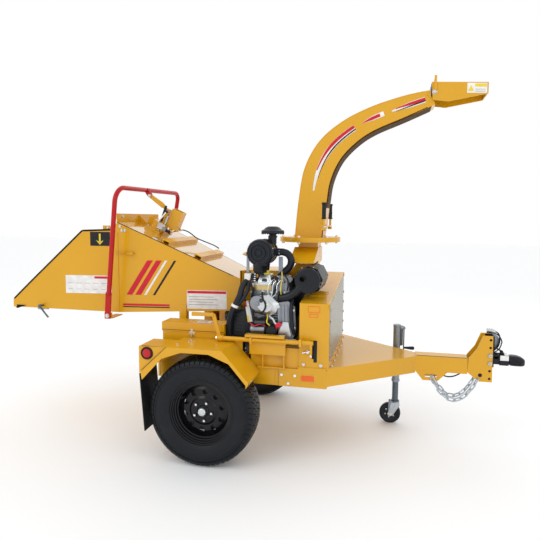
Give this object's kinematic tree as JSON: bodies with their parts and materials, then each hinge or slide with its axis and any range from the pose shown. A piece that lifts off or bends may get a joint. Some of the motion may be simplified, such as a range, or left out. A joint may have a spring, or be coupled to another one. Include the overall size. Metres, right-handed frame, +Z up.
{
  "type": "wood chipper",
  "caption": "Towed disc wood chipper: tapering infeed hopper with control bar, engine, curved swivelling discharge chute, two-wheel trailer with hitch and jack.",
  "frame": {"origin": "on the ground under the middle of the whole machine", "axes": "+X towards the tow hitch, +Y to the far side, away from the engine, +Z up"},
  "size_m": [3.455, 1.552, 2.384],
  "materials": {
    "yellow_paint": "gloss",
    "black_paint": "satin",
    "red_paint": "gloss",
    "zinc": "satin",
    "steel": "satin",
    "cast_iron": "matte",
    "engine_alloy": "satin",
    "chrome": "polished",
    "tyre_rubber": "matte",
    "black_rubber": "matte",
    "black_plastic": "matte",
    "red_lens": "gloss"
  },
  "bodies": {
    "chassis": {"air_cleaner": "black_plastic", "alternator": "engine_alloy", "axle": "black_paint", "battery_box": "yellow_paint", "bed_knife": "steel", "belt_guard": "black_paint", "control_tower": "yellow_paint", "control_valve": "chrome", "coupler": "black_paint", "cross_members": "yellow_paint", "cylinder_head": "engine_alloy", "disc_bearings": "cast_iron", "disc_housing": "yellow_paint", "drive_belts": "black_rubber", "engine_block": "engine_alloy", "feed_housing": "yellow_paint", "fenders": "yellow_paint", "frame_bolts": "zinc", "hitch_plates": "yellow_paint", "hopper": "yellow_paint", "hopper_posts": "yellow_paint", "intake_hose": "black_rubber", "jack_tube": "zinc", "lamps": "red_lens", "light_cable": "black_rubber", "light_plug": "engine_alloy", "mud_flaps": "black_rubber", "muffler": "black_paint", "precleaner": "black_plastic", "radiator": "black_paint", "radiator_box": "yellow_paint", "radiator_screen": "zinc", "safety_chains": "zinc", "side_rails": "yellow_paint", "tongue_beam": "yellow_paint", "tongue_frame": "yellow_paint", "valve_hose": "black_rubber"},
    "wheel_near": {"tyre_near": "tyre_rubber", "rim_near": "black_paint"},
    "wheel_far": {"tyre_far": "tyre_rubber", "rim_far": "black_paint"},
    "coupler_latch": {"coupler_latch": "zinc"},
    "clutch_lever": {"clutch_lever": "yellow_paint"},
    "battery_lid": {"battery_lid": "yellow_paint"},
    "infeed_apron": {"infeed_apron": "yellow_paint"},
    "apron_pin": {"apron_pin": "zinc"},
    "control_bar": {"control_bar": "red_paint"},
    "control_link": {"control_link": "yellow_paint"},
    "roller_yoke": {"roller_yoke": "yellow_paint"},
    "feed_roller": {"feed_roller": "steel"},
    "cutter_disc": {"cutter_disc": "steel", "disc_knives": "steel"},
    "engine_pulley": {"engine_pulley": "cast_iron"},
    "chute": {"chute": "yellow_paint", "chute_grips": "black_rubber"},
    "deflector": {"deflector": "yellow_paint"},
    "jack_leg": {"jack_leg": "zinc"},
    "jack_crank": {"jack_crank": "zinc"},
    "caster_fork": {"caster_fork": "zinc"},
    "caster_wheel": {"caster_wheel": "black_rubber"}
  },
  "joints": [
    {"name": "wheel_near_spin", "type": "hinge", "parent": "chassis", "child": "wheel_near", "pos_m": [-0.2115, -0.664, 0.3315], "axis": [0, 1, 0], "continuous": true},
    {"name": "wheel_far_spin", "type": "hinge", "parent": "chassis", "child": "wheel_far", "pos_m": [-0.2115, 0.664, 0.3315], "axis": [0, 1, 0], "continuous": true},
    {"name": "coupler_latch_lift", "type": "hinge", "parent": "chassis", "child": "coupler_latch", "pos_m": [1.5885, 0, 0.628], "axis": [0, 1, 0], "range_deg": [0, 45]},
    {"name": "clutch_lever_throw", "type": "hinge", "parent": "chassis", "child": "clutch_lever", "pos_m": [0.0885, -0.543, 0.748], "axis": [1, 0, 0], "range_deg": [0, 60]},
    {"name": "battery_lid_open", "type": "hinge", "parent": "chassis", "child": "battery_lid", "pos_m": [-0.3615, -0.35, 0.77], "axis": [-1, 0, 0], "range_deg": [0, 95]},
    {"name": "infeed_apron_fold", "type": "hinge", "parent": "chassis", "child": "infeed_apron", "pos_m": [-1.3635, 0, 0.864], "axis": [0, 1, 0], "range_deg": [0, 98]},
    {"name": "apron_pin_pull", "type": "slide", "parent": "chassis", "child": "apron_pin", "axis": [0, -1, 0], "range_m": [0, 0.025], "stiffness_N_per_m": 400},
    {"name": "control_bar_swing", "type": "hinge", "parent": "chassis", "child": "control_bar", "pos_m": [-0.9835, 0, 0.832], "axis": [0, 1, 0], "range_deg": [-4, 4]},
    {"name": "control_link_swing", "type": "hinge", "parent": "control_bar", "child": "control_link", "pos_m": [-0.8515, -0.053, 1.65], "axis": [0, 1, 0], "range_deg": [-4.5, 4.5]},
    {"name": "roller_yoke_lift", "type": "hinge", "parent": "chassis", "child": "roller_yoke", "pos_m": [-0.0915, 0, 1], "axis": [0, -1, 0], "range_deg": [0, 24]},
    {"name": "feed_roller_spin", "type": "hinge", "parent": "roller_yoke", "child": "feed_roller", "pos_m": [0.0385, 0, 0.971], "axis": [0, 1, 0], "continuous": true},
    {"name": "cutter_disc_spin", "type": "hinge", "parent": "chassis", "child": "cutter_disc", "pos_m": [0.0885, 0.1, 0.78], "axis": [1, 0, 0], "continuous": true},
    {"name": "engine_pulley_spin", "type": "hinge", "parent": "chassis", "child": "engine_pulley", "pos_m": [-0.0765, -0.345, 0.76], "axis": [1, 0, 0], "continuous": true},
    {"name": "chute_turn", "type": "hinge", "parent": "chassis", "child": "chute", "pos_m": [0.3185, 0, 1.348], "axis": [0, 0, 1], "continuous": true},
    {"name": "deflector_tilt", "type": "hinge", "parent": "chute", "child": "deflector", "pos_m": [1.1035, 0, 2.283], "axis": [0, 1, 0], "range_deg": [-20, 30]},
    {"name": "jack_leg_extend", "type": "slide", "parent": "chassis", "child": "jack_leg", "axis": [0, 0, -1], "range_m": [-0.135, 0.12]},
    {"name": "jack_crank_turn", "type": "hinge", "parent": "chassis", "child": "jack_crank", "pos_m": [0.9685, 0.25, 0.712], "axis": [1, 0, 0], "range_deg": [-740, 660]},
    {"name": "caster_swivel", "type": "hinge", "parent": "jack_leg", "child": "caster_fork", "pos_m": [0.9245, 0.25, 0.16], "axis": [0, 0, 1], "continuous": true},
    {"name": "caster_roll", "type": "hinge", "parent": "caster_fork", "child": "caster_wheel", "pos_m": [0.8905, 0.25, 0.076], "axis": [0, 1, 0], "continuous": true}
  ],
  "couplings": [
    {"joint": "engine_pulley_spin", "follows": "cutter_disc_spin", "ratio": 1.3778},
    {"joint": "control_link_swing", "follows": "control_bar_swing", "ratio": 1.1},
    {"joint": "jack_crank_turn", "follows": "jack_leg_extend", "rad_per_m": 83.776}
  ]
}
